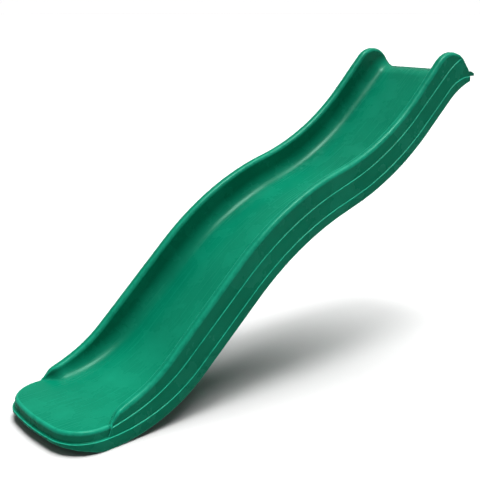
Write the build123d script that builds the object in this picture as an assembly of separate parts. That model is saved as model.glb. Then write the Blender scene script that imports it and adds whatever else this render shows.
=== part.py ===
from build123d import *
from math import cos, radians, tan
import os

# ---------------------------------------------------------------- driving dimensions (mm)
# X runs from the nose of the landing tongue up to the hook lip, Y across, Z up from the ground.
RUN = 2038.0               # nose of the tongue to the tip of the hook lip
HALF_WIDTH = 240.0         # outside of the lower rim
STEP = 5.0                 # each ledge on the side steps in by this much
WALL = 3.0                 # thickness of the moulded plastic
RAIL_INSIDE = 192.0        # inner face of a side rail, measured from the centre plane
RAIL_OUTSIDE = HALF_WIDTH - 2 * STEP
COVE_RADIUS = 55.0         # hollow corner between the floor and a rail
CROWN_RADIUS = 15.0        # rounding over the top of a rail
DECK_HEIGHT = 1096.0       # level top of the entry deck above the ground

# Side profiles: corner points of straight runs and the radii of the bends between them.
RIM = ([(-10, 36), (136, 0), (380, 0), (990.5, 527.5), (1536, 702), (1924.5, 1042), (2042, 1066.5)],
       [100, 600, 1240, 1210, 350])
LOWER_LEDGE = ([(-10, 44), (40, 41), (370, 41), (972, 560), (1517, 735), (1906.5, 1076), (2042, 1076.5)],
               [100, 564, 1276, 1174, 200])
UPPER_LEDGE = ([(78, 48.4), (367, 115.4), (939.4, 610.3), (1491, 795), (1885, 1138.6), (2040, 1192.9)],
               [620, 1338, 1112, 350])
FLOOR = ([(-60, 77), (390, 77), (964, 573.5), (1510, 748.5), (1911, DECK_HEIGHT),
          (2008, DECK_HEIGHT), (2042, 1079)],
         [560, 1290, 1160, 100, 25])
CROWN = ([(140, 40), (200, 112), (350, 173.2), (933, 697), (1478, 838), (1855, 1205.6),
          (1945, 1156), (1997.7, 1087.3)],
         [60, 500, 1210, 1000, 112, 80])

# Landing tongue, outline in plan: rounded corners and a slightly bowed front.
TONGUE_HEIGHT = 77.0
TONGUE_CORNER = 136.0
TONGUE_BOW = 6.3           # the two halves of the front lean back by this angle, in degrees
TONGUE_BOW_RADIUS = 800.0
TONGUE_INSET = 10.0        # the tongue's wall stands back from the lower rim
TONGUE_EDGE_RADIUS = 13.0
TONGUE_ROOT = 32.0         # where the tongue's wall starts, inside the lower rim
TONGUE_END = 168.0         # where the rails begin
FOOT_START = 160.0         # front edge of the stepped band beside the tongue
RAIL_TIP = 225.0           # inner face of a rail at its foot, flaring out from RAIL_INSIDE
FLARE_END = 318.0
FLARE_RADIUS = 500.0

# The sliding floor is divided where its curve changes from hollow to humped and back.
HUMP_START = 680.0
HUMP_END = 1240.0

# Entry deck and hook lip
DECK_START = 1880.0
LIP_START = 1990.0         # end face that butts against the platform
LIP_UNDERSIDE = 1076.0
LIP_CORNER = 12.0
LIP_HOLE_RADIUS = 3.5
LIP_HOLE_SPACING = 300.0

# Conical tack-offs that tie the underside to the floor, in two rows
CONE_COUNT = 9             # along each row
CONE_FIRST = 0.052         # first and last place as a fraction of the rim's length
CONE_LAST = 0.795
CONE_ROW = 90.0            # from the centre plane to a row
CONE_MOUTH = 26.0
CONE_TIP = 9.0
CONE_LENGTH = 80.0        # before it is cut off by the back of the floor

# Working values for cutting and for picking edges
TALL = 2600.0              # larger than anything it has to cut
OVERSHOOT = 60.0           # how far a cutting shape runs past the ends of the slide
NEAR = 0.01                # two points this close are the same
MARGIN = 1.0
UPRIGHT = 0.9              # an edge with more rise than this along it is an upright one


# ---------------------------------------------------------------- helpers
def side_view(point):
    return Vector(point[0], 0, point[1])


def plan_view(point):
    return Vector(point[0], point[1], 0)


def rounded(points, radii, place=side_view):
    """Lines through the corner points, with an arc of the given radius in every corner."""
    edges = []
    last = place(points[0])
    for before, corner, after, radius in zip(points, points[1:], points[2:], radii):
        incoming = (place(corner) - place(before)).normalized()
        outgoing = (place(after) - place(corner)).normalized()
        half_turn = radians(incoming.get_angle(outgoing)) / 2
        start = place(corner) - incoming * radius * tan(half_turn)
        end = place(corner) + outgoing * radius * tan(half_turn)
        inwards = (outgoing - incoming).normalized()
        middle = place(corner) + inwards * radius * (1 / cos(half_turn) - 1)
        edges += [Line(last, start), ThreePointArc(start, middle, end)]
        last = end
    edges.append(Line(last, place(points[-1])))
    return edges


def shifted(profile, distance):
    """The same side profile moved square to itself, upwards for a positive distance."""
    points, radii = profile
    corners = [side_view(p) for p in points]
    headings = [(b - a).normalized() for a, b in zip(corners, corners[1:])]
    normals = [Vector(-h.Z, 0, h.X) for h in headings]
    moved = [corners[0] + normals[0] * distance]
    new_radii = []
    for i, radius in enumerate(radii):
        half_turn = radians(headings[i].get_angle(headings[i + 1])) / 2
        outwards = (normals[i] + normals[i + 1]).normalized()
        moved.append(corners[i + 1] + outwards * distance / cos(half_turn))
        bends_up = headings[i + 1].Z > headings[i].Z
        new_radii.append(radius - distance if bends_up else radius + distance)
    moved.append(corners[-1] + normals[-1] * distance)
    return [(p.X, p.Z) for p in moved], new_radii


def level(height):
    return [(-OVERSHOOT, height), (RUN + OVERSHOOT, height)], []


def between(lower, upper, near, far):
    """Solid between two side profiles, from one distance across to another."""
    bottom = rounded(*lower)
    top = rounded(*upper)
    ends = [Line(bottom[0] @ 0, top[0] @ 0), Line(bottom[-1] @ 1, top[-1] @ 1)]
    face = make_face(bottom + top + ends)
    return Pos(0, near, 0) * extrude(face, far - near, dir=(0, 1, 0))


def edges_on(solid, profile):
    """Long edges of a freshly extruded solid that follow a side profile."""
    middles = [edge @ 0.5 for edge in rounded(*profile)]
    found = []
    for edge in solid.edges():
        middle = edge @ 0.5
        if any(abs(middle.X - m.X) < NEAR and abs(middle.Z - m.Z) < NEAR for m in middles):
            found.append(edge)
    return found


def block(x_start, x_end, y_start=-TALL, y_end=TALL):
    size = Box(x_end - x_start, y_end - y_start, 2 * TALL)
    return Pos((x_start + x_end) / 2, (y_start + y_end) / 2, 0) * size


def tongue_plan(inset, bottom, top):
    """Upright block with the tongue's plan outline, running back over the whole slide."""
    side = HALF_WIDTH - inset
    bow = radians(TONGUE_BOW)
    apex = inset - TONGUE_BOW_RADIUS * (1 / cos(bow) - 1)
    front = apex + side * tan(bow)
    points = [(TALL, -side), (front, -side), (apex, 0), (front, side), (TALL, side)]
    corner = TONGUE_CORNER - inset
    outline = rounded(points, [corner, TONGUE_BOW_RADIUS, corner], plan_view)
    face = make_face(outline + [Line(outline[-1] @ 1, outline[0] @ 0)])
    return Pos(0, 0, bottom) * extrude(face, top - bottom, dir=(0, 0, 1))


# ---------------------------------------------------------------- the moulding
def rim_band(inset):
    """Lowest band of the side, running round the nose of the tongue."""
    half = HALF_WIDTH - inset
    band = between(shifted(RIM, inset), shifted(LOWER_LEDGE, -inset), -half, half)
    return band & tongue_plan(inset, -TALL, TALL)


def stepped_band(inset):
    """Middle band of the side, between the two ledges."""
    half = HALF_WIDTH - STEP - inset
    band = between(shifted(RIM, inset), shifted(UPPER_LEDGE, -inset), -half, half)
    under_crown = between(shifted(RIM, inset), shifted(CROWN, -inset), -half, half)
    front = band & block(FOOT_START + inset, FLARE_END)
    return front + (band & under_crown & block(FLARE_END, TALL))


def rail(inset):
    """Side rail on +Y, full height, with its crown rounded over."""
    top = shifted(CROWN, -inset)
    solid = between(shifted(RIM, inset), top, RAIL_INSIDE + inset, RAIL_OUTSIDE - inset)
    return fillet(edges_on(solid, top), CROWN_RADIUS - inset)


def channel(inset):
    """The open space a rider sits in: everything above the floor, between the rails."""
    bottom = shifted(FLOOR, -inset)
    wall = RAIL_INSIDE + inset
    tip = RAIL_TIP + inset
    points = [(-OVERSHOOT, tip), (TONGUE_END, tip), (FLARE_END, wall), (RUN + OVERSHOOT, wall)]
    radii = [FLARE_RADIUS, FLARE_RADIUS]
    left = rounded(points, radii, plan_view)
    right = rounded([(x, -y) for x, y in points], radii, plan_view)
    ends = [Line(left[0] @ 0, right[0] @ 0), Line(left[-1] @ 1, right[-1] @ 1)]
    plan = extrude(make_face(left + right + ends), TALL, dir=(0, 0, 1))
    space = plan & between(bottom, level(TALL), -TALL, TALL)
    corners = [e for e in space.edges() if abs((e @ 0.5).Y) > wall - MARGIN
               and abs((e % 0.5).Z) < UPRIGHT and (e @ 0.5).Z < TALL - MARGIN]
    space = fillet(corners, COVE_RADIUS + inset)
    over_tongue = between(bottom, level(TALL), -TALL, TALL) & block(-TALL, TONGUE_END)
    return space + over_tongue


def tongue_top(inset):
    """Upper part of the tongue, set back from the rim, with a rounded top edge."""
    top = TONGUE_HEIGHT - inset
    solid = tongue_plan(TONGUE_INSET + inset, TONGUE_ROOT, top)
    edges = [e for e in solid.edges() if (e @ 0).Z > top - MARGIN and (e @ 1).Z > top - MARGIN
             and (e @ 0.5).X < TALL - MARGIN]
    return fillet(edges, TONGUE_EDGE_RADIUS - inset) & block(-TALL, TONGUE_END)


def body(inset):
    """The whole moulding shrunk by an inset on every side."""
    half = RAIL_OUTSIDE - inset
    bottom = shifted(RIM, inset)
    floor = between(bottom, shifted(FLOOR, -inset), -half, half)
    coves = between(bottom, shifted(FLOOR, COVE_RADIUS + WALL), -RAIL_INSIDE - WALL, RAIL_INSIDE + WALL)
    coves &= between(bottom, shifted(CROWN, -inset), -half, half)
    rails = rail(inset) + mirror(rail(inset), Plane.XZ)
    upper = (floor + coves + rails) & block(TONGUE_END - WALL, TALL)
    whole = upper + stepped_band(inset) + rim_band(inset) - channel(inset)
    whole += tongue_top(inset)
    return whole & block(-TALL, LIP_START - inset)


def hook_lip():
    """Solid lip that lies on the platform, with two holes for the fixing screws."""
    solid = between(RIM, FLOOR, -RAIL_OUTSIDE, RAIL_OUTSIDE) & block(LIP_START, RUN)
    solid &= Pos(0, 0, LIP_UNDERSIDE + TALL) * block(LIP_START, RUN)
    corners = solid.edges().filter_by(Axis.Z).group_by(Axis.X)[-1]
    solid = fillet(corners, LIP_CORNER)
    middle = (LIP_START + RUN) / 2
    for side in (-1, 1):
        hole = Cylinder(LIP_HOLE_RADIUS, TALL)
        solid -= Pos(middle, side * LIP_HOLE_SPACING / 2, LIP_UNDERSIDE) * hole
    return solid


# ---------------------------------------------------------------- tack-offs
def cone_places():
    """Where the cones stand: planes on the underside, square to it."""
    rim = Wire(rounded(*RIM))
    places = []
    for i in range(CONE_COUNT):
        along = CONE_FIRST + (CONE_LAST - CONE_FIRST) * i / (CONE_COUNT - 1)
        heading = rim % along
        for side in (-1, 1):
            origin = (rim @ along) + Vector(0, side * CONE_ROW, 0)
            places.append(Plane(origin, x_dir=(0, 1, 0), z_dir=(-heading.Z, 0, heading.X)))
    return places


def taper(length, thinner):
    """Cone standing on its mouth at the origin, with everything moved inwards by thinner."""
    slope = (CONE_MOUTH - CONE_TIP) / CONE_LENGTH
    cone = Cone(CONE_MOUTH - thinner, CONE_MOUTH - thinner - slope * length, length)
    return Pos(0, 0, length / 2) * cone


def tack_off(place, room):
    """One hollow cone from the underside up to the back of the floor."""
    outside = (place.location * taper(CONE_LENGTH, 0)) & room
    height = max(place.to_local_coords(v.center()).Z for v in outside.vertices())
    hollow = place.location * taper(height - WALL, WALL)
    return outside - hollow


def group(solids):
    return Compound(children=list(solids))


def save(name, shape):
    """Moves the shape to the shared frame, half way along the run, and writes its file."""
    shape = Pos(-RUN / 2, 0, 0) * shape
    solids = shape.solids()
    shape = solids[0] if len(solids) == 1 else Compound(children=list(solids))
    shape.label = name
    export_step(shape, f"parts/{name}.step")
    print(name, len(solids), "solid(s)", round(shape.volume / 1000), "cm3")


# ---------------------------------------------------------------- build
os.makedirs("parts", exist_ok=True)
shell = body(0) - body(WALL)
skin_layer = between(RIM, shifted(RIM, WALL), -HALF_WIDTH, HALF_WIDTH)
underside = shell & skin_layer
upper = shell - skin_layer

room = between(RIM, shifted(FLOOR, -WALL), -RAIL_INSIDE, RAIL_INSIDE)
cones = []
for place in cone_places():
    cones.append(tack_off(place, room))
    underside -= place.location * taper(CONE_LENGTH, 0)

foot = RAIL_INSIDE - COVE_RADIUS
save("landing_tongue", upper & block(-TALL, TONGUE_END))
save("run_out_floor", upper & block(TONGUE_END, HUMP_START, -foot, foot))
save("hump_floor", upper & block(HUMP_START, HUMP_END, -foot, foot))
save("upper_slope_floor", upper & block(HUMP_END, DECK_START, -foot, foot))
save("entry_deck", upper & block(DECK_START, TALL, -foot, foot))
save("left_side_rail", upper & block(TONGUE_END, TALL, -TALL, -foot))
save("right_side_rail", upper & block(TONGUE_END, TALL, foot, TALL))
save("hook_lip", hook_lip())
save("underside_skin", underside)
save("tack_off_cones", group(cones))
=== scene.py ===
from math import atan, atan2, cos, degrees, hypot, pi, radians, sin, sqrt, tan

import bpy
import numpy as np
from mathutils import Euler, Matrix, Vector


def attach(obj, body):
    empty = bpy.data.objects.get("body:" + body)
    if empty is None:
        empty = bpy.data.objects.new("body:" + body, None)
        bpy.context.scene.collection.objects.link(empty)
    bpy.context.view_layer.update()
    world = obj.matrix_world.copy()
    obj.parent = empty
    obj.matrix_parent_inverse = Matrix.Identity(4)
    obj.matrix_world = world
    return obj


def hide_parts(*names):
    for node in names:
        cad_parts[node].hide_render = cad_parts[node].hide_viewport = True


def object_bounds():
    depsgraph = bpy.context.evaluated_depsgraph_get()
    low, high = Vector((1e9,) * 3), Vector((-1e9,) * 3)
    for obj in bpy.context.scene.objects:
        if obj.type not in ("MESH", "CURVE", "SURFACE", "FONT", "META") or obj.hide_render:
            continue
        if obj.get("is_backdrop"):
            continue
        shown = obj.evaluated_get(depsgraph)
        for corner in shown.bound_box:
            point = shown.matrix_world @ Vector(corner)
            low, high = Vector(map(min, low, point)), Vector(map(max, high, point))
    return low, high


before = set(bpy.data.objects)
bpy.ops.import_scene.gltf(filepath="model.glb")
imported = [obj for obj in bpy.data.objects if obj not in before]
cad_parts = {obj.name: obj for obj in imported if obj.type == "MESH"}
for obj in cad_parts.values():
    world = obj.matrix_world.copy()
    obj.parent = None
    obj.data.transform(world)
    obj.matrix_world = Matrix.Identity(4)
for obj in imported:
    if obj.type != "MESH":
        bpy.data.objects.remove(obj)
cad_low, cad_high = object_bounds()

# ---------------------------------------------------------------- driving dimensions (mm)
# X runs from the nose of the tongue up to the hook lip, Y across, Z up, as in the CAD model.
RUN = 2038.0
HALF_WIDTH = 240.0
STEP = 5.0
SKIN = 2.4                 # thickness of the shown wall
RAIL_INSIDE = 192.0
RAIL_OUTSIDE = HALF_WIDTH - 2 * STEP
COVE_RADIUS = 55.0
CROWN_RADIUS = 15.0
LEDGE_RADIUS = 2.4
RIM_RADIUS = 3.0
DECK_HEIGHT = 1096.0

# Side profiles: corner points and bend radii.
RIM = ([(-10, 36), (136, 0), (380, 0), (990.5, 527.5), (1536, 702), (1924.5, 1042), (2042, 1066.5)],
       [100, 600, 1240, 1210, 350])
LOWER_LEDGE = ([(-10, 44), (40, 41), (370, 41), (972, 560), (1517, 735), (1906.5, 1076), (2042, 1076.5)],
               [100, 564, 1276, 1174, 200])
UPPER_LEDGE = ([(78, 48.4), (367, 115.4), (939.4, 610.3), (1491, 795), (1885, 1138.6), (2040, 1192.9)],
               [620, 1338, 1112, 350])
FLOOR = ([(-60, 77), (390, 77), (964, 573.5), (1510, 748.5), (1911, DECK_HEIGHT),
          (2008, DECK_HEIGHT), (2042, 1079)],
         [560, 1290, 1160, 100, 25])
CROWN = ([(110, 4), (200, 112), (350, 173.2), (933, 697), (1478, 838), (1855, 1205.6),
          (1945, 1156), (2010, 1071.3)],
         [60, 500, 1210, 1000, 112, 80])

# Tongue
TONGUE_HEIGHT = 77.0
TONGUE_CORNER = 136.0
TONGUE_BOW = 6.3
TONGUE_BOW_RADIUS = 800.0
TONGUE_CHORD = 5.0         # spacing of points round the nose
TONGUE_EDGE_RADIUS = 13.0
TONGUE_BACK = 148.0        # where the tongue's curved outline becomes the straight side
TONGUE_END = 168.0
BAND_START = 157.0         # foot of the middle band's slanted front edge
BAND_SLOPE = 2.1
TIP_RADIUS = 7.0           # rounding of a rail's crown at its tip
TIP_COVE_RADIUS = 20.0
END_CROWN_RADIUS = 5.0     # and where its back comes down to the deck

# Where one piece ends and the next one starts
HUMP_START = 680.0
HUMP_END = 1240.0
DECK_START = 1880.0
LIP_START = 1990.0

# Platform end
LIP_BEVEL = 1.2
LIP_BEVEL_SEGMENTS = 3
LIP_WELD = 0.01            # joins the lip's corners, so that its edges can be rounded
END_GAP = 0.01             # keeps the end face's sharp edge apart from the smooth surface

# Conical tack-offs, seen from below as pits
CONE_COUNT = 9             # along each of the two rows
CONE_FIRST = 0.052         # first and last place as a fraction of the rim's length
CONE_LAST = 0.795
CONE_ROW = 90.0
CONE_MOUTH = 23.0
CONE_SLOPE = 0.21          # narrowing for each millimetre of depth
CONE_EDGE_RADIUS = 3.0
CONE_ARC = 5               # points of each rounding
CONE_TIP_WALL = 6.0        # floor and tip together
PATCH_REACH = 32.0         # half the size of the square of underside round a pit

# Stations: spans along X of start, end and step, close together where the shape changes fast
STATION_SPANS = [(TONGUE_BACK, 215, 2.5), (215, 320, 5), (320, 1760, 10), (1760, 1900, 4),
                 (1900, LIP_START, 3)]

# Places along X between which the cross-section changes
UPRIGHT_ZONE = (TONGUE_BACK - 1, TONGUE_BACK + 30)     # upright sections become square to the rim
TIP_ZONE = (TONGUE_END - 12, TONGUE_END + 16)          # the crown becomes tight at a rail's tip
CROWN_ZONE = (160.0, 240.0)                            # the tongue's edge rounding becomes the crown's
RISE_ZONE = (TONGUE_END - 4, TONGUE_END + 14)          # the rails grow out of the tongue
FLARE_ZONE = (TONGUE_END + 10, 262.0)                  # the rails reach their full thickness
LEVELLING_ZONE = (1870.0, LIP_START)                   # sections become upright again
END_CROWN_ZONE = (LIP_START - 40, LIP_START)           # the crown becomes tight at the back of an ear
FALL_ZONE = (LIP_START - 16, LIP_START - 1)            # the backs of the ears run out into the deck

# Limits and tolerances
SHELL_HEIGHT = 60.0        # typical height of a side profile above the rim
SLOPE_REACH = 6.0          # half the length over which the rim's slope is measured
SOFT_JOIN = 5.0            # rounding where a rail starts from the floor
RISEN = 0.5                # share of the fade by which a rail stands at its full height
STEEPEST = 60.0            # degrees; the crown's rounding stretches no further than for this slope
FULL_STRETCH = 25.0        # rail height from which the crown's rounding follows its slope
ROUNDING_SHARE = 0.6       # largest share of a wall's height that its rounding takes
LEDGE_SHARE = 0.35         # and a ledge's
FLUSH_ZONE = (-8.0, 2.0)   # the upper ledge runs out where it meets the crown's shoulder
CLOSE = 0.01               # mm, for telling which side of a division a place lies on
ON_LINE = 1e-6             # mm, for points that lie on an end of the tongue's outline
TINY = 1e-9                # keeps divisions away from nothing
HALVINGS = 40
SAME = 3                   # decimals of a mm to which equal points agree
QUAD = 4                   # corners of an ordinary face


# ---------------------------------------------------------------- curves
def rounded(points, radii, chord=2.0):
    """Dense points along straight runs joined by tangent arcs."""
    path = [np.array(points[0], float)]
    for before, corner, after, radius in zip(points, points[1:], points[2:], radii):
        corner = np.array(corner, float)
        incoming = (corner - before) / hypot(*(corner - before))
        outgoing = (after - corner) / hypot(*(after - corner))
        turn = atan2(incoming[0] * outgoing[1] - incoming[1] * outgoing[0], incoming @ outgoing)
        start = corner - incoming * radius * tan(abs(turn) / 2)
        side = np.sign(turn)
        centre = start + side * radius * np.array([-incoming[1], incoming[0]])
        count = max(2, int(radius * abs(turn) / chord))
        for angle in np.linspace(0, turn, count + 1):
            spoke = start - centre
            path.append(centre + [spoke[0] * cos(angle) - spoke[1] * sin(angle),
                                  spoke[0] * sin(angle) + spoke[1] * cos(angle)])
    path.append(np.array(points[-1], float))
    return np.array(path)


def crossing(curve, base, up):
    """Height above base, along up, at which the line meets the curve, and the curve's heading there."""
    rel = curve - base
    side = up[0] * rel[:, 1] - up[1] * rel[:, 0]
    hits = np.where((side[:-1] > 0) & (side[1:] <= 0))[0]
    along = rel @ up
    i = hits[np.argmin(np.abs(along[hits] - SHELL_HEIGHT))]
    share = side[i] / (side[i] - side[i + 1])
    heading = curve[i + 1] - curve[i]
    return along[i] + share * (along[i + 1] - along[i]), atan2(heading[1], heading[0])


def smooth(value, low, high):
    """0 below low and 1 above high, with an even change between them."""
    t = min(1.0, max(0.0, (value - low) / (high - low)))
    return t * t * (3 - 2 * t)


def mix(a, b, share):
    """A value between a and b."""
    return a + (b - a) * share


curves = {name: rounded(*profile) for name, profile in
          dict(rim=RIM, low=LOWER_LEDGE, high=UPPER_LEDGE, floor=FLOOR, crown=CROWN).items()}


# ---------------------------------------------------------------- stations along the slide
def station_places():
    """Distances along X at which the cross-section is drawn."""
    places = []
    for start, end, step in STATION_SPANS:
        places += list(np.arange(start, end - step / 2, step))
    return places + [LIP_START]


def station(x):
    """Foot of a cross-section on the rim, the direction in which it stands, and its lean."""
    rim = curves["rim"]
    i = min(np.searchsorted(rim[:, 0], x), len(rim) - 1)
    a, b = rim[i - 1], rim[i]
    z = mix(a[1], b[1], (x - a[0]) / (b[0] - a[0]))
    behind, ahead = (np.interp(x + d, rim[:, 0], rim[:, 1]) for d in (-SLOPE_REACH, SLOPE_REACH))
    lean = atan2(ahead - behind, 2 * SLOPE_REACH) * (1 - smooth(x, *LEVELLING_ZONE))
    lean *= smooth(x, *UPRIGHT_ZONE)
    return np.array([x, z]), np.array([-sin(lean), cos(lean)]), lean


# ---------------------------------------------------------------- cross-section
# Numbers of points: straight runs first, then the roundings from the bottom corner to the cove
UNDER_COUNT = 24
FLOOR_COUNT = 14
RIM_ARC = 6
LEDGE_ARC = 5
LEDGE_FOOT_ARC = 4
CROWN_ARC = 10
OVER_ARC = 9
COVE_ARC = 13
UNDER_END = UNDER_COUNT + RIM_ARC - 1
RAIL_FOOT = UNDER_COUNT + RIM_ARC + 2 * (LEDGE_ARC + LEDGE_FOOT_ARC) + CROWN_ARC + OVER_ARC + COVE_ARC - 1


def arc(centre, wide, tall, start, end, count):
    """Points on part of an ellipse, between two angles in degrees."""
    t = np.radians(np.linspace(start, end, count))
    return np.column_stack([centre[0] + wide * np.cos(t), centre[1] + tall * np.sin(t)])


def outer_side(rim, low, high, top, crown_radius, tall):
    """From the bottom corner up to the highest point: across is measured from the centre plane."""
    rim_radius = min(RIM_RADIUS, (low - rim) * ROUNDING_SHARE)
    outer = min(LEDGE_RADIUS, (low - rim) * LEDGE_SHARE)
    shoulder = top - tall
    band = max(0.0, high - low)
    inner = min(LEDGE_RADIUS, band / 2)
    middle, wall = HALF_WIDTH - STEP, RAIL_OUTSIDE
    flush = STEP * smooth(high - shoulder, *FLUSH_ZONE)
    edge = wall + flush
    parts = [arc((HALF_WIDTH - rim_radius, rim + rim_radius), rim_radius, rim_radius, -90, 0, RIM_ARC),
             arc((HALF_WIDTH - outer, low - outer), outer, outer, 0, 90, LEDGE_ARC),
             arc((middle + inner, low + inner), inner, inner, -90, -180, LEDGE_FOOT_ARC),
             arc((middle - inner, high - inner), inner, inner, 0, 90, LEDGE_ARC),
             arc((wall + LEDGE_RADIUS, high + LEDGE_RADIUS), LEDGE_RADIUS, LEDGE_RADIUS, -90, -180,
                 LEDGE_FOOT_ARC)]
    for part in parts[1:]:
        part[:, 1] = np.minimum(part[:, 1], shoulder)
        part[:, 0] = np.maximum(part[:, 0], edge)
    parts.append(arc((edge - crown_radius, shoulder), crown_radius, tall, 0, 90, CROWN_ARC))
    return np.vstack(parts)


def inner_side(floor, top, start, cove, crown_radius, tall):
    """From the crown's inner edge down to the floor: an arc over, a wall, and a hollow corner.

    Where the rail is too low for a wall, both arcs stop at the same lean, found by halving."""
    rise = top - floor
    stretch = tall / crown_radius
    full = cove + tall
    if rise >= full:
        lean, over = pi / 2, pi / 2
    else:
        low, up = 0.0, pi / 2
        for _ in range(HALVINGS):
            lean = (low + up) / 2
            over = atan(tan(lean) / stretch)
            if cove * (1 - cos(lean)) + tall * (1 - cos(over)) < rise:
                low = lean
            else:
                up = lean
    over_arc = arc((start, top - tall), crown_radius, tall, 90, 90 + degrees(over), OVER_ARC)
    foot = start - crown_radius * sin(over) - cove * sin(lean)
    hollow = arc((foot, floor + cove), cove, cove, -90 + degrees(lean), -90, COVE_ARC)
    return np.vstack([over_arc, hollow]), foot


def half_section(x, rim, low, high, floor, crown, slant):
    """Points from the bottom centre round the outside and the crown to the middle of the floor."""
    fade = min(smooth(x, *RISE_ZONE), 1 - smooth(x, *FALL_ZONE))
    raised = crown - floor
    blend = SOFT_JOIN * fade
    rise = (raised + sqrt(raised * raised + blend * blend)) / 2 * smooth(fade, 0, RISEN)
    top = floor + max(rise, 0.0)
    flare = 1 - smooth(x, *FLARE_ZONE)
    tip = min(smooth(x, *TIP_ZONE), flare)
    at_end = smooth(x, *END_CROWN_ZONE)
    outer = mix(mix(TONGUE_EDGE_RADIUS, CROWN_RADIUS, smooth(x, *CROWN_ZONE)), TIP_RADIUS, tip)
    outer = mix(outer, END_CROWN_RADIUS, at_end)
    slant = min(abs(slant), radians(STEEPEST)) * smooth(rise, 0, FULL_STRETCH)
    tall = min(outer / cos(slant), (top - rim) * ROUNDING_SHARE)
    outside = outer_side(rim, low, high, top, outer, tall)
    inner = mix(mix(CROWN_RADIUS, TIP_RADIUS, tip), END_CROWN_RADIUS, at_end)
    start = mix(min(RAIL_INSIDE + inner, outside[-1, 0]), outside[-1, 0], flare)
    cove = mix(COVE_RADIUS, TIP_COVE_RADIUS, flare)
    inside, foot = inner_side(floor, top, start, cove, inner, inner / cos(slant))
    under = np.column_stack([np.linspace(0, HALF_WIDTH - RIM_RADIUS, UNDER_COUNT + 1)[:-1],
                             np.full(UNDER_COUNT, rim)])
    across = np.column_stack([np.linspace(foot, 0, FLOOR_COUNT + 1)[1:], np.full(FLOOR_COUNT, floor)])
    return under, outside, inside, across


def section_at(x):
    """Foot, direction and half section of the whole moulding at a place along X."""
    base, up, lean = station(x)
    heights = {name: crossing(curve, base, up) for name, curve in curves.items() if name != "rim"}
    low, high = heights["low"][0], heights["high"][0]
    high = min(high, low + max(0.0, (x - BAND_START) * BAND_SLOPE))
    crown, heading = heights["crown"]
    return base, up, half_section(x, 0.0, low, high, heights["floor"][0], crown, heading - lean)


# ---------------------------------------------------------------- surface
class Surface:
    """Collects outward-facing faces of the whole moulding, each marked with the piece it belongs to."""

    def __init__(self):
        self.corners, self.faces = [], {}

    def add(self, piece, *loops):
        """Each loop is a list of points; its normal points outwards."""
        for loop in loops:
            start = len(self.corners)
            self.corners += [tuple(p) for p in loop]
            self.faces.setdefault(piece, []).append(list(range(start, start + len(loop))))

    def weld(self):
        """Joins equal points and drops what collapses; gives the points, their normals and the faces."""
        keys = np.round(np.array(self.corners), SAME)
        points, index = np.unique(keys, axis=0, return_inverse=True)
        index = index.reshape(-1)
        normals = np.zeros_like(points)
        kept = {}
        for piece, faces in self.faces.items():
            kept[piece] = [loop for loop in (welded(face, index) for face in faces) if loop]
            for loop in kept[piece]:
                add_normal(normals, loop, points)
        normals /= np.maximum(np.linalg.norm(normals, axis=1, keepdims=True), TINY)
        return points, normals, kept


def welded(face, index):
    """A face's loop of joined points, or an empty one where it collapses."""
    loop = [int(index[k]) for k in face]
    loop = [v for k, v in enumerate(loop) if v != loop[k - 1]]
    return loop if len(set(loop)) == len(loop) > 2 else []


def newell(points):
    """Vector square to a face, as long as the face's area."""
    ahead = np.roll(points, -1, axis=0)
    return np.array([np.sum((points[:, 1] - ahead[:, 1]) * (points[:, 2] + ahead[:, 2])),
                     np.sum((points[:, 2] - ahead[:, 2]) * (points[:, 0] + ahead[:, 0])),
                     np.sum((points[:, 0] - ahead[:, 0]) * (points[:, 1] + ahead[:, 1]))]) / 2


def add_normal(normals, loop, points):
    """Adds a face's direction to the normals of its corners, each weighted by the corner's angle."""
    corners = points[loop]
    ahead = np.roll(corners, -1, axis=0) - corners
    back = np.roll(corners, 1, axis=0) - corners
    area = newell(corners)
    size = np.linalg.norm(area)
    if size >= TINY:
        turns = np.linalg.norm(np.cross(ahead, back), axis=1)
        angles = np.arctan2(turns, np.einsum("ij,ij->i", ahead, back))
        normals[loop] += angles[:, None] * (area / size)


def edge_wear_and_highlight(points, normals, faces):
    """For every point, 0 on flat or hollow plastic and 1 on a tightly rounded outward edge, which gets both
    rubbed wear and a painted highlight.

    The second sharpest bend at a point counts, so that the wear and the painted highlight stop where a
    rounding meets a flat.
    Faces with more corners than four are the flat ends, and are left out."""
    pairs = {tuple(sorted(pair)) for loops in faces.values() for loop in loops if len(loop) <= QUAD
             for pair in zip(loop, loop[1:] + loop[:1])}
    a, b = np.array(sorted(pairs)).T
    along = points[b] - points[a]
    bend = np.einsum("ij,ij->i", normals[b] - normals[a], along) / np.einsum("ij,ij->i", along, along)
    owner, bends = np.concatenate([a, b]), np.concatenate([bend, bend])
    order = np.lexsort((bends, owner))
    sharpest = np.searchsorted(owner[order], np.arange(len(points)), side="right") - 1
    return np.clip(bends[order][sharpest - 1] / SHARP_BEND, 0, 1)


def mirrored(loop):
    """The same face on the other side of the slide, still facing outwards."""
    return [(p[0], -p[1], p[2]) for p in reversed(loop)]


surface = Surface()
places = station_places()
sections = [section_at(x) for x in places]


def in_space(base, up, points):
    """Points of a cross-section, as across and height, put in their place along the slide."""
    return [(base[0] + up[0] * h, y, base[1] + up[1] * h) for y, h in points]


def floor_piece(x):
    """Name of the piece that the sliding surface belongs to just above a place along X."""
    for name, end in (("landing_tongue", TONGUE_END), ("run_out_floor", HUMP_START),
                      ("hump_floor", HUMP_END), ("upper_slope_floor", DECK_START)):
        if x < end - CLOSE:
            return name
    return "entry_deck"


def patch(a, b, j, names):
    """The face between rows a and b at column j, and its mirror image on the other side."""
    loop = [a[j], a[j + 1], b[j + 1], b[j]]
    surface.add(names[0], loop)
    surface.add(names[1], mirrored(loop))


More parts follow.
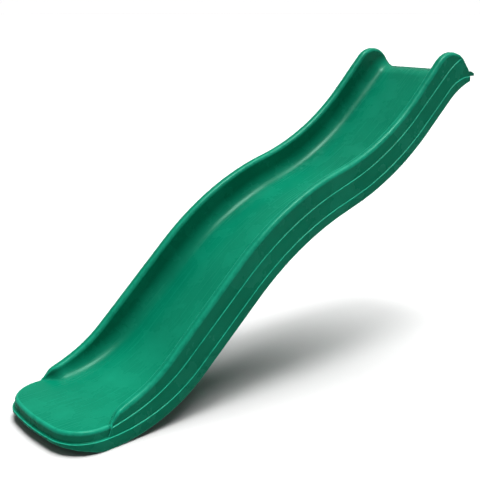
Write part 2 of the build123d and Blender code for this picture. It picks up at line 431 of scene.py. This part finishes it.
rows = [in_space(base, up, np.vstack(parts)) for base, up, parts in sections]
for x, a, b in zip(places, rows, rows[1:]):
    for j in range(UNDER_COUNT, len(a) - 1):
        names = (floor_piece(x),) * 2
        if j < UNDER_END:
            names = ("underside_skin",) * 2
        elif j < RAIL_FOOT and x < TONGUE_END - CLOSE:
            names = ("landing_tongue",) * 2
        elif j < RAIL_FOOT:
            names = ("right_side_rail", "left_side_rail")
        patch(a, b, j, names)


# ---------------------------------------------------------------- landing tongue
def tongue_outline():
    """Half of the rim's outline in plan, from the nose to the straight side, with inward normals."""
    bow = radians(TONGUE_BOW)
    apex = -TONGUE_BOW_RADIUS * (1 / cos(bow) - 1)
    front = apex + HALF_WIDTH * tan(bow)
    points = [(front, -HALF_WIDTH), (apex, 0), (front, HALF_WIDTH), (TONGUE_BACK, HALF_WIDTH)]
    line = rounded(points, [TONGUE_BOW_RADIUS, TONGUE_CORNER], chord=TONGUE_CHORD)
    line = line[line[:, 1] >= -ON_LINE]
    line[0] = (0.0, 0.0)
    line = line[line[:, 0] <= TONGUE_BACK + ON_LINE]
    run = np.gradient(line, axis=0)
    normals = np.column_stack([run[:, 1], -run[:, 0]]) / np.hypot(run[:, 0], run[:, 1])[:, None]
    normals[0], normals[-1] = (1, 0), (0, -1)
    return line, normals


outline, inwards = tongue_outline()
ring = []
for point, normal in zip(outline, inwards):
    rim_z = float(np.interp(point[0], curves["rim"][:, 0], curves["rim"][:, 1]))
    low = crossing(curves["low"], np.array([point[0], 0.0]), np.array([0.0, 1.0]))[0]
    part = outer_side(rim_z, low, low, TONGUE_HEIGHT, TONGUE_EDGE_RADIUS, TONGUE_EDGE_RADIUS)
    inset = HALF_WIDTH - part[:, 0]
    ring.append([(point[0] + normal[0] * d, point[1] + normal[1] * d, z) for d, z in zip(inset, part[:, 1])])
for a, b in zip(ring, ring[1:]):
    for j in range(len(a) - 1):
        patch(a, b, j, ("underside_skin" if j < RIM_ARC - 1 else "landing_tongue",) * 2)
half = [points[-1] for points in ring] + rows[0][-FLOOR_COUNT:]
surface.add("landing_tongue", half[::-1], mirrored(half[::-1]))


# ---------------------------------------------------------------- underside and its pits
def under_row(edge):
    """Points from the centre plane out to the rounded bottom corner."""
    return [(edge[0], edge[1] * k / UNDER_COUNT, edge[2]) for k in range(UNDER_COUNT + 1)]


def loop_round(grid, first_row, last_row, first_column, last_column):
    """Boundary of a rectangle of the grid, in the same sense as its faces."""
    near = [grid[first_row][j] for j in range(first_column, last_column)]
    side = [grid[i][last_column] for i in range(first_row, last_row)]
    far = [grid[last_row][j] for j in range(last_column, first_column, -1)]
    back = [grid[i][first_column] for i in range(last_row, first_row, -1)]
    return near + side + far + back


def tube(name, rings, close=True):
    """Bands of faces from each ring of points to the next, closed at the last one."""
    for a, b in zip(rings, rings[1:]):
        for k in range(len(a)):
            n = (k + 1) % len(a)
            loop = [a[k], a[n], b[n], b[k]]
            surface.add(name, loop, mirrored(loop))
    if close:
        surface.add(name, rings[-1], mirrored(rings[-1]))


def circle(centre, along, up, radius, depth, angles):
    """Ring of points square to up; each angle is measured from along towards +Y."""
    return [tuple(centre + along * radius * cos(t) + np.array([0, 1, 0]) * radius * sin(t) + up * depth)
            for t in angles]


def angles_to(loop, centre, along):
    """Direction of each point of a loop from the centre of a pit."""
    return [atan2(p[1] - centre[1], (np.array(p) - centre) @ along) for p in loop]


def pit(grid, i, j, centre, along, up, depth):
    """Rounded mouth in the underside, conical wall and rounded tip."""
    edge = loop_round(grid, *i, *j)
    angles = angles_to(edge, centre, along)
    turns = np.radians(np.linspace(0, 90, CONE_ARC))
    mouth = [(CONE_MOUTH + CONE_EDGE_RADIUS * (1 - sin(t)), CONE_EDGE_RADIUS * (1 - cos(t))) for t in turns]
    tip = CONE_MOUTH - CONE_SLOPE * (depth - CONE_EDGE_RADIUS)
    point = [(tip - CONE_EDGE_RADIUS * (1 - cos(t)), depth - CONE_EDGE_RADIUS * (1 - sin(t))) for t in turns]
    base = [circle(centre, along, up, r, d, angles) for r, d in mouth]
    tube("underside_skin", [edge, base[0]], close=False)
    tube("tack_off_cones", base + [circle(centre, along, up, r, d, angles) for r, d in point])


rim = curves["rim"]
rim_length = np.concatenate([[0], np.cumsum(np.hypot(*np.diff(rim, axis=0).T))])
under = [under_row(points[0]) for points in ring] + [under_row(row[UNDER_COUNT]) for row in rows[1:]]
distance = np.array([np.interp(row[0][0], rim[:, 0], rim_length) for row in under])


def pit_frame(s):
    """At a distance s along the rim: a pit's centre, the rim's direction, the way in, and the depth."""
    here, ahead = (np.array([np.interp(s + d, rim_length, rim[:, k]) for k in (0, 1)]) for d in (0, 1))
    along = (ahead - here) / hypot(*(ahead - here))
    up = np.array([-along[1], along[0]])
    depth = crossing(curves["floor"], here, up)[0] - CONE_TIP_WALL
    return (np.array([here[0], CONE_ROW, here[1]]), np.array([along[0], 0, along[1]]),
            np.array([up[0], 0, up[1]]), depth)


def pit_patch(s):
    """First and last rows and columns of the square of underside that a pit's mouth takes up."""
    i = (np.searchsorted(distance, s - PATCH_REACH) - 1, np.searchsorted(distance, s + PATCH_REACH))
    spacing = under[i[0]][1][1]
    j = (int((CONE_ROW - PATCH_REACH) / spacing), int((CONE_ROW + PATCH_REACH) / spacing) + 1)
    return i, j


taken = set()
for share in np.linspace(CONE_FIRST, CONE_LAST, CONE_COUNT):
    s = share * rim_length[-1]
    i, j = pit_patch(s)
    taken |= {(row, column) for row in range(*i) for column in range(*j)}
    pit(under, i, j, *pit_frame(s))
for i, (a, b) in enumerate(zip(under, under[1:])):
    for j in range(UNDER_COUNT):
        if (i, j) not in taken:
            patch(a, b, j, ("underside_skin",) * 2)


# ---------------------------------------------------------------- end face against the platform
end = [(p[0] + END_GAP, p[1], p[2]) for p in rows[-1]]
deck_end = end[:UNDER_COUNT] + end[RAIL_FOOT:]
surface.add("entry_deck", deck_end, mirrored(deck_end))
rail_end = end[UNDER_COUNT - 1:RAIL_FOOT + 1]
surface.add("right_side_rail", rail_end)
surface.add("left_side_rail", mirrored(rail_end))


# ---------------------------------------------------------------- closed pieces
def to_frame(points):
    """From millimetres behind the nose to the shared frame's metres."""
    return (np.array(points) - (RUN / 2, 0, 0)) / 1000


def boundary(faces):
    """Sides that belong to one face only, each in its face's direction."""
    sides = {(a, b): True for face in faces for a, b in zip(face, face[1:] + face[:1])}
    return [(a, b) for a, b in sides if (b, a) not in sides]


def shade(mesh, facing, first_wall):
    """Gives faces the smooth normals of their points, and flat ones from the first wall on."""
    mesh.polygons.foreach_set("use_smooth", [True] * len(mesh.polygons))
    mesh.normals_split_custom_set([polygon.normal if polygon.index >= first_wall else Vector(facing[v])
                                   for polygon in mesh.polygons for v in polygon.vertices])


def closed_piece(name, points, normals, wear_and_highlight, faces):
    """Solid wall: the outer faces, the same faces set back by the wall's thickness, and its edges."""
    used = sorted({v for face in faces for v in face})
    index = {v: k for k, v in enumerate(used)}
    count = len(used)
    outer = points[used]
    inner = outer - normals[used] * SKIN
    front = [[index[v] for v in face] for face in faces]
    back = [[v + count for v in reversed(face)] for face in front]
    edges = [[b, a, a + count, b + count] for a, b in boundary(front)]
    mesh = bpy.data.meshes.new(name)
    mesh.from_pydata(to_frame(np.vstack([outer, inner])).tolist(), [], front + back + edges)
    mesh.validate()
    shade(mesh, np.vstack([normals[used], -normals[used]]), len(front) + len(back))
    # Share of each point in the edges' rubbed wear and painted highlight, read by the material
    layer = mesh.attributes.new("edge_wear_and_highlight", "FLOAT", "POINT")
    layer.data.foreach_set("value", np.concatenate([wear_and_highlight[used], wear_and_highlight[used]]).astype(np.float32))
    place(bpy.data.objects.new(name + "_skin", mesh), name)


def place(piece, *nodes):
    """Puts a shown piece on the body, in place of the CAD nodes and material."""
    bpy.context.scene.collection.objects.link(piece)
    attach(piece, "root")
    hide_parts(*nodes)
    piece.data.materials.append(plastic)


# ---------------------------------------------------------------- material
SHARP_BEND = 0.25          # bend of an edge, in 1/mm, that gets the most wear and the brightest painted highlight
GREEN = (0.001, 0.130, 0.071, 1)
DEEP_GREEN = (0.0, 0.106, 0.057, 1)
# Pale green of rubbed plastic, also used for the painted highlight lines along rounded edges and ledges
WORN_AND_HIGHLIGHT_GREEN = (0.02, 0.42, 0.27, 1)
GLOSS = 0.2
GLOSS_TINT = (0.5, 1.0, 0.8, 1)
COLOUR_A, COLOUR_B, COLOUR_RESULT = 6, 7, 2   # sockets of the mix node

# Noises: scale in 1/m, detail, and stretch along the three axes
EVEN = (1, 1, 1)
CLOUDS = (4.0, 3.0, EVEN)
PATCHES = (11.0, 4.0, EVEN)
SCUFFS = (1.0, 5.0, (5, 160, 5))   # long marks along the chute
RUBS = (45.0, 4.0, EVEN)
GRAIN = (1500.0, 2.0, EVEN)
WAVES = (14.0, 1.0, EVEN)

# Span of each noise that turns from nothing to all
CLOUD_SPAN = (0.3, 0.7)
PATCH_SPAN = (0.45, 0.75)
SCUFF_SPAN = (0.56, 0.72)
RUB_SPAN = (0.25, 0.6)
LEAST_RUBBED = 0.35
SLID_ON_SPAN = (0.45, 0.75)        # how far a surface has to face upwards to be slid on

# How much of each shows: share of colour, added roughness, and depth in metres
PATCH_COLOUR = 0.05
SCUFF_COLOUR = 0.035
# The rounded edges' pale green is partly wear and partly a painted highlight
WEAR_AND_HIGHLIGHT_COLOUR = 0.85
SMOOTHEST = 0.25
DULLEST = 0.34
SCUFF_DULLNESS = 0.14
WEAR_DULLNESS = 0.12
GRAIN_DEPTH = 0.00003
WAVE_DEPTH = 0.0005
SCUFF_DEPTH = 0.00001


def noise(tree, scale, detail, stretch):
    """Three-dimensional noise in the slide's own coordinates, about 0.3 to 0.7."""
    nodes, links = tree.nodes, tree.links
    place = nodes.new("ShaderNodeTexCoord").outputs["Object"]
    if stretch != EVEN:
        mapping = nodes.new("ShaderNodeMapping")
        mapping.inputs["Scale"].default_value = stretch
        links.new(place, mapping.inputs["Vector"])
        place = mapping.outputs["Vector"]
    texture = nodes.new("ShaderNodeTexNoise")
    texture.inputs["Scale"].default_value = scale
    texture.inputs["Detail"].default_value = detail
    links.new(place, texture.inputs["Vector"])
    return texture.outputs["Fac"]


def remap(tree, value, low, high, to_low=0.0, to_high=1.0):
    """The value stretched from one range to another, and held inside it."""
    node = tree.nodes.new("ShaderNodeMapRange")
    for name, number in (("From Min", low), ("From Max", high), ("To Min", to_low), ("To Max", to_high)):
        node.inputs[name].default_value = number
    tree.links.new(value, node.inputs["Value"])
    return node.outputs["Result"]


def maths(tree, operation, a, b):
    """Sum, difference or product of two values; either may be a plain number."""
    node = tree.nodes.new("ShaderNodeMath")
    node.operation = operation
    for socket, value in zip(node.inputs, (a, b)):
        if isinstance(value, float):
            socket.default_value = value
        else:
            tree.links.new(value, socket)
    return node.outputs["Value"]


def blend(tree, share, a, b):
    """Mix of two colours; either may be a plain colour or another node's output."""
    node = tree.nodes.new("ShaderNodeMix")
    node.data_type = "RGBA"
    tree.links.new(share, node.inputs["Factor"])
    for socket, value in zip((COLOUR_A, COLOUR_B), (a, b)):
        if isinstance(value, tuple):
            node.inputs[socket].default_value = value
        else:
            tree.links.new(value, node.inputs[socket])
    return node.outputs[COLOUR_RESULT]


def moulded_plastic():
    """Coloured polyethylene: cloudy colour, rubbed edges with painted highlight lines on them, scuffs along
    the chute and a mould grain.
    """
    material = bpy.data.materials.new("moulded_green_plastic")
    material.use_nodes = True
    tree = material.node_tree
    shader = tree.nodes["Principled BSDF"]
    shader.inputs["Specular IOR Level"].default_value = GLOSS
    shader.inputs["Specular Tint"].default_value = GLOSS_TINT

    clouds = remap(tree, noise(tree, *CLOUDS), *CLOUD_SPAN)
    patches = remap(tree, noise(tree, *PATCHES), *PATCH_SPAN)
    scuffs = remap(tree, noise(tree, *SCUFFS), *SCUFF_SPAN)
    rubbed_places = remap(tree, noise(tree, *RUBS), *RUB_SPAN, LEAST_RUBBED)
    # Mask of the rounded edges, for their wear and their painted highlight
    attribute = tree.nodes.new("ShaderNodeAttribute")
    attribute.attribute_name = "edge_wear_and_highlight"
    wear_and_highlight = maths(tree, "MULTIPLY", attribute.outputs["Fac"], rubbed_places)

    normal = tree.nodes.new("ShaderNodeSeparateXYZ")
    tree.links.new(tree.nodes.new("ShaderNodeTexCoord").outputs["Normal"], normal.inputs["Vector"])
    slid_on = remap(tree, normal.outputs["Z"], *SLID_ON_SPAN)
    scuffs = maths(tree, "MULTIPLY", scuffs, slid_on)

    colour = blend(tree, clouds, DEEP_GREEN, GREEN)
    colour = blend(tree, maths(tree, "MULTIPLY", patches, PATCH_COLOUR), colour, WORN_AND_HIGHLIGHT_GREEN)
    colour = blend(tree, maths(tree, "MULTIPLY", scuffs, SCUFF_COLOUR), colour, WORN_AND_HIGHLIGHT_GREEN)
    # Painted highlight: tightly rounded edges and ledges turn pale green, on top of their rubbing
    colour = blend(tree, maths(tree, "MULTIPLY", wear_and_highlight, WEAR_AND_HIGHLIGHT_COLOUR), colour, WORN_AND_HIGHLIGHT_GREEN)
    tree.links.new(colour, shader.inputs["Base Color"])

    roughness = remap(tree, patches, 0.0, 1.0, SMOOTHEST, DULLEST)
    roughness = maths(tree, "ADD", roughness, maths(tree, "MULTIPLY", scuffs, SCUFF_DULLNESS))
    roughness = maths(tree, "ADD", roughness, maths(tree, "MULTIPLY", wear_and_highlight, WEAR_DULLNESS))
    tree.links.new(roughness, shader.inputs["Roughness"])

    height = maths(tree, "MULTIPLY", noise(tree, *GRAIN), GRAIN_DEPTH)
    height = maths(tree, "ADD", height, maths(tree, "MULTIPLY", noise(tree, *WAVES), WAVE_DEPTH))
    height = maths(tree, "SUBTRACT", height, maths(tree, "MULTIPLY", scuffs, SCUFF_DEPTH))
    bump = tree.nodes.new("ShaderNodeBump")
    bump.inputs["Strength"].default_value = 1.0
    bump.inputs["Distance"].default_value = 1.0
    tree.links.new(height, bump.inputs["Height"])
    tree.links.new(bump.outputs["Normal"], shader.inputs["Normal"])
    return material


plastic = moulded_plastic()
points, normals, faces = surface.weld()
# How much rubbed wear and painted highlight each point of a rounded edge gets
wear_and_highlight = edge_wear_and_highlight(points, normals, faces)
for name, loops in faces.items():
    closed_piece(name, points, normals, wear_and_highlight, loops)

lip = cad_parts["hook_lip"]
lip.data.materials.clear()
lip.data.materials.append(plastic)
weld = lip.modifiers.new("weld", "WELD")
weld.merge_threshold = LIP_WELD / 1000
bevel = lip.modifiers.new("rounded_edges", "BEVEL")
bevel.width = LIP_BEVEL / 1000
bevel.segments = LIP_BEVEL_SEGMENTS
bevel.limit_method = "ANGLE"

# ---------------------------------------------------------------- floor, light and camera
FLOOR_SIZE = 180.0         # metres, reaching out of sight behind the backdrop
FLOOR_DROP = 0.0005
PAPER = (0.47, 0.47, 0.47, 1)
PAPER_ROUGHNESS = 0.9
BLACK = (0, 0, 0, 1)
WHITE = (1, 1, 1, 1)
SKY = 0.18
LAMPS = {                  # strength, width in degrees, tilt about X and Y, and whether the gloss mirrors it
    "overhead_softbox": (7.0, 54.0, (-5.0, 17.0), False),
    "overhead_spot": (1.8, 20.0, (3.0, 3.0), True),
}
BACKDROP_RADIUS = 80.0

# Camera, in metres and degrees
LENS = 63.2
CAMERA_PLACE = (-2.120, -2.340, 1.386)
CAMERA_DOWN = 15.895
CAMERA_HEADING = -40.723


def plain(name, settings):
    """Material with the given values on its shader."""
    material = bpy.data.materials.new(name)
    material.use_nodes = True
    for socket, value in settings.items():
        material.node_tree.nodes["Principled BSDF"].inputs[socket].default_value = value
    return material


bpy.ops.mesh.primitive_plane_add(size=FLOOR_SIZE, location=(0, 0, cad_low.z - FLOOR_DROP))
ground = bpy.context.object
ground.name = "studio_floor"
ground.data.materials.append(plain("pale_paper", {"Base Color": PAPER, "Roughness": PAPER_ROUGHNESS,
                                                 "Specular IOR Level": 0.0}))
ground.visible_glossy = False
ground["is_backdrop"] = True

world = bpy.data.worlds.new("studio")
bpy.context.scene.world = world
world.use_nodes = True
world.node_tree.nodes["Background"].inputs["Color"].default_value = WHITE
world.node_tree.nodes["Background"].inputs["Strength"].default_value = SKY

bpy.ops.mesh.primitive_uv_sphere_add(segments=64, ring_count=32, radius=BACKDROP_RADIUS,
                                     location=(0, 0, cad_low.z))
backdrop = bpy.context.object
backdrop.name = "studio_backdrop"
backdrop.data.materials.append(plain("white_backdrop", {"Base Color": BLACK, "Emission Color": WHITE,
                                                       "Emission Strength": 1.0}))
backdrop.visible_diffuse = backdrop.visible_glossy = backdrop.visible_shadow = False
backdrop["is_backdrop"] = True

for name, (strength, width, tilt, mirrored_in_gloss) in LAMPS.items():
    lamp = bpy.data.lights.new(name, "SUN")
    lamp.energy = strength
    lamp.angle = radians(width)
    sun = bpy.data.objects.new(name, lamp)
    sun.rotation_euler = Euler((radians(tilt[0]), radians(tilt[1]), 0))
    sun.visible_glossy = mirrored_in_gloss
    bpy.context.scene.collection.objects.link(sun)

camera = bpy.data.objects.new("camera", bpy.data.cameras.new("camera"))
camera.data.lens = LENS
camera.location = CAMERA_PLACE
camera.rotation_euler = Euler((radians(90 - CAMERA_DOWN), 0, radians(CAMERA_HEADING)))
bpy.context.scene.collection.objects.link(camera)
bpy.context.scene.camera = camera
bpy.context.scene.view_settings.view_transform = "Standard"

low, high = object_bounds()
